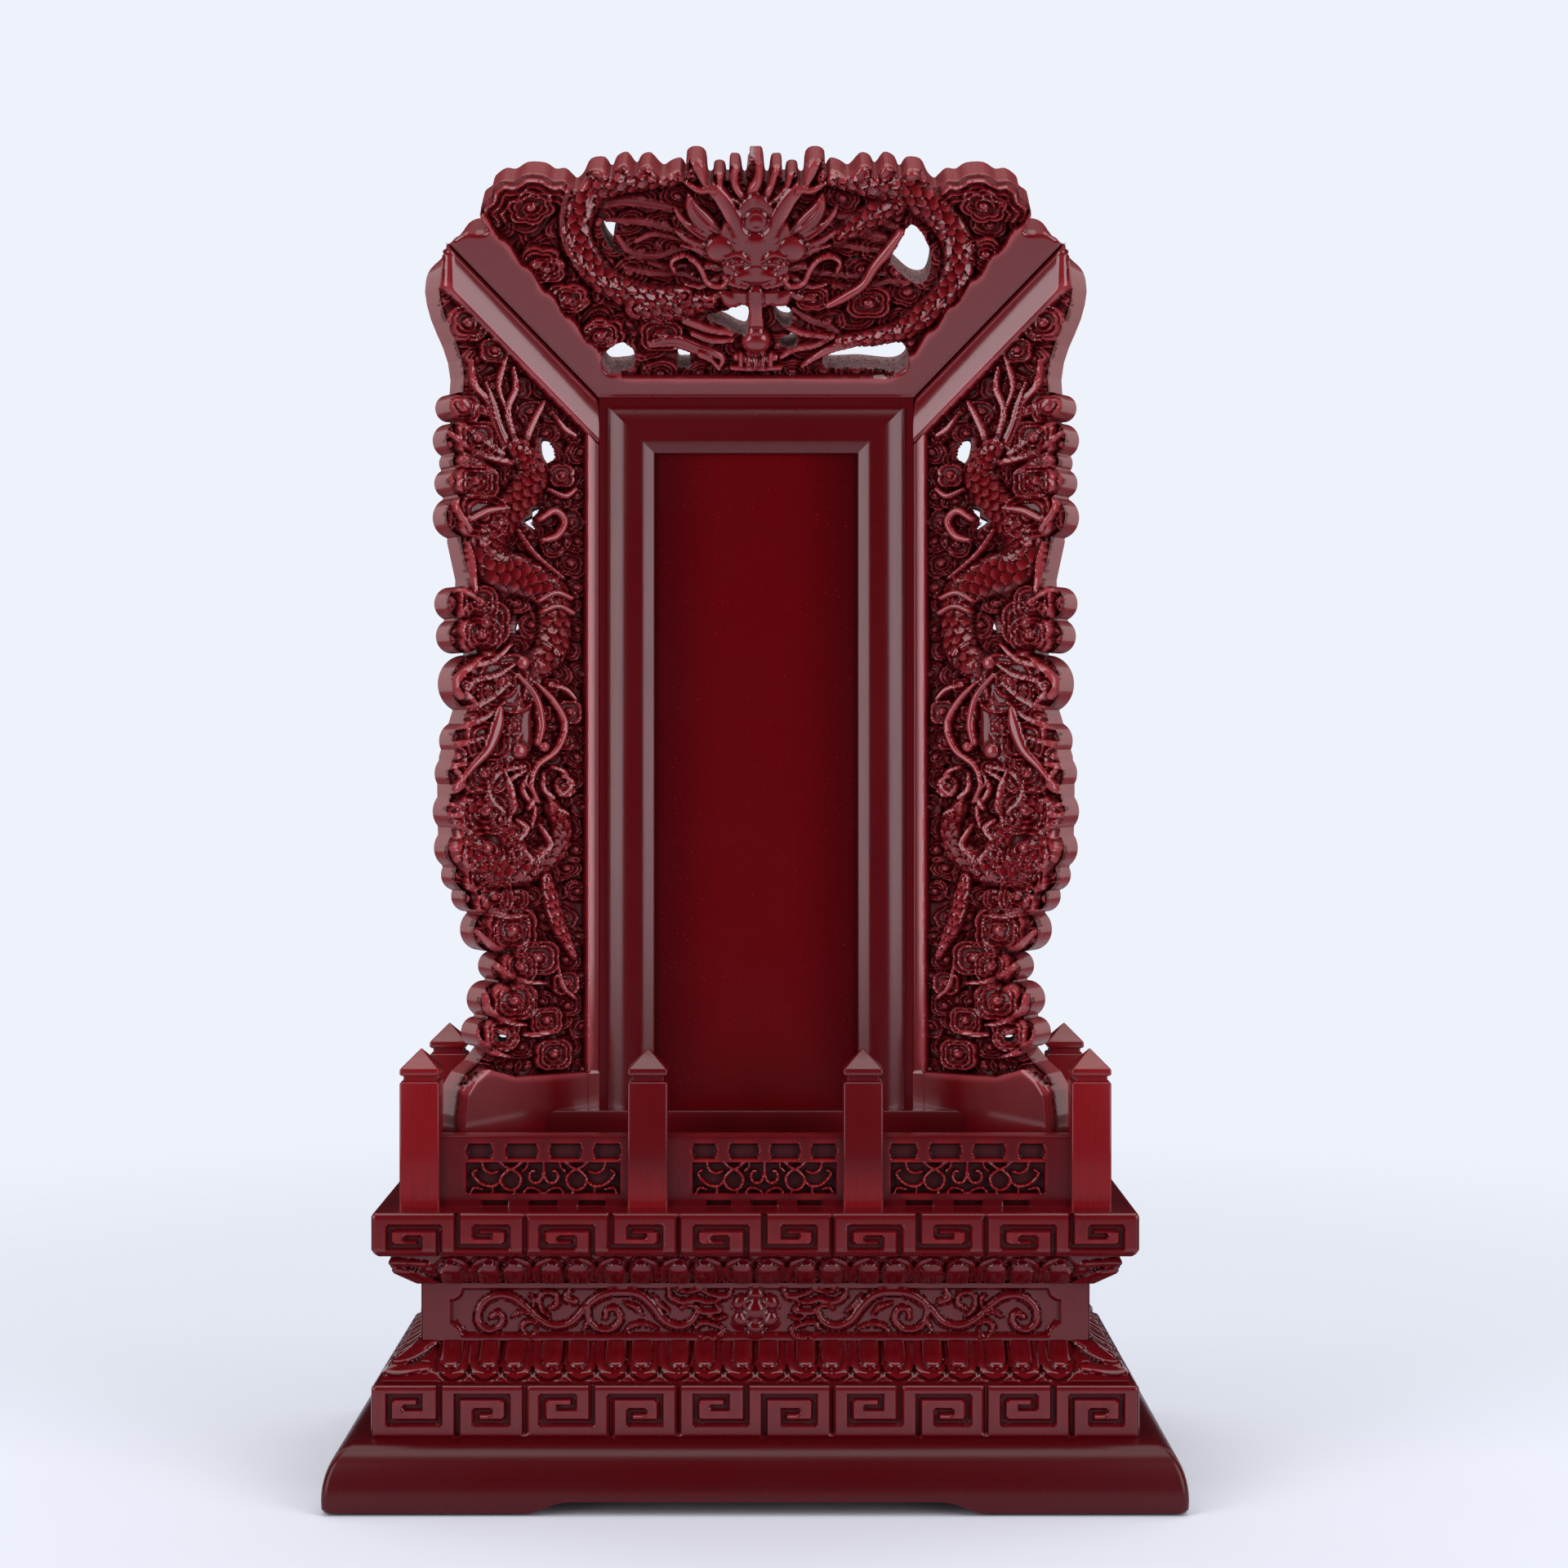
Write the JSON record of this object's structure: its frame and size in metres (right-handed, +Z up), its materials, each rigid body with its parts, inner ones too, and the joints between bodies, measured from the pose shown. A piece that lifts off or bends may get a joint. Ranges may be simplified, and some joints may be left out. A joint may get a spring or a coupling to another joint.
{
  "type": "ancestor tablet",
  "caption": "Carved red-lacquered ancestor tablet with a blank face panel, leaning dragon wings and crest, lifted out of a lotus pedestal with a balustrade; a back cover slides up.",
  "frame": {"origin": "middle of the plinth's underside, on the surface it stands on", "axes": "+Z up, -Y towards the front, +X to the viewer's right"},
  "size_m": [0.2384, 0.129, 0.3819],
  "materials": {
    "red_lacquered_wood": "dark rosewood-red lacquer, high gloss, over carved hardwood",
    "panel_lacquer": "plain red lacquer, high gloss, flat",
    "bare_wood": "bare planed wood",
    "screw_steel": "zinc plated"
  },
  "bodies": {
    "base": {"plinth_board": "red_lacquered_wood", "lower_fret_block": "red_lacquered_wood", "lower_lotus": "red_lacquered_wood", "waist_block": "red_lacquered_wood", "upper_lotus": "red_lacquered_wood", "upper_fret_block": "red_lacquered_wood", "stack_dowels": "bare_wood", "plinth_screws": "screw_steel", "post_front_left": "red_lacquered_wood", "post_gate_left": "red_lacquered_wood", "post_gate_right": "red_lacquered_wood", "post_front_right": "red_lacquered_wood", "post_rear_left": "red_lacquered_wood", "post_rear_right": "red_lacquered_wood", "rail_front_left": "red_lacquered_wood", "rail_front_centre": "red_lacquered_wood", "rail_front_right": "red_lacquered_wood", "rail_side_left": "red_lacquered_wood", "rail_side_right": "red_lacquered_wood"},
    "tablet": {"core_board": "red_lacquered_wood", "face_panel": "panel_lacquer", "frame_left_stile": "red_lacquered_wood", "frame_right_stile": "red_lacquered_wood", "frame_top_rail": "red_lacquered_wood", "foot_rail": "red_lacquered_wood", "left_wing": "red_lacquered_wood", "right_wing": "red_lacquered_wood", "crest": "red_lacquered_wood", "left_wing_dowels": "bare_wood", "right_wing_dowels": "bare_wood", "crest_dowels": "bare_wood", "mitre_dowels": "bare_wood", "left_cleat": "red_lacquered_wood", "right_cleat": "red_lacquered_wood", "top_cleat": "red_lacquered_wood", "bottom_cleat": "red_lacquered_wood", "name_board": "bare_wood"},
    "back_cover": {"back_cover": "red_lacquered_wood"}
  },
  "joints": [
    {"name": "tablet_lift", "type": "slide", "parent": "base", "child": "tablet", "axis": [0, 0, 1], "range_m": [0, 0.07]},
    {"name": "cover_slide", "type": "slide", "parent": "tablet", "child": "back_cover", "axis": [0, 0, 1], "range_m": [0, 0.19]}
  ]
}
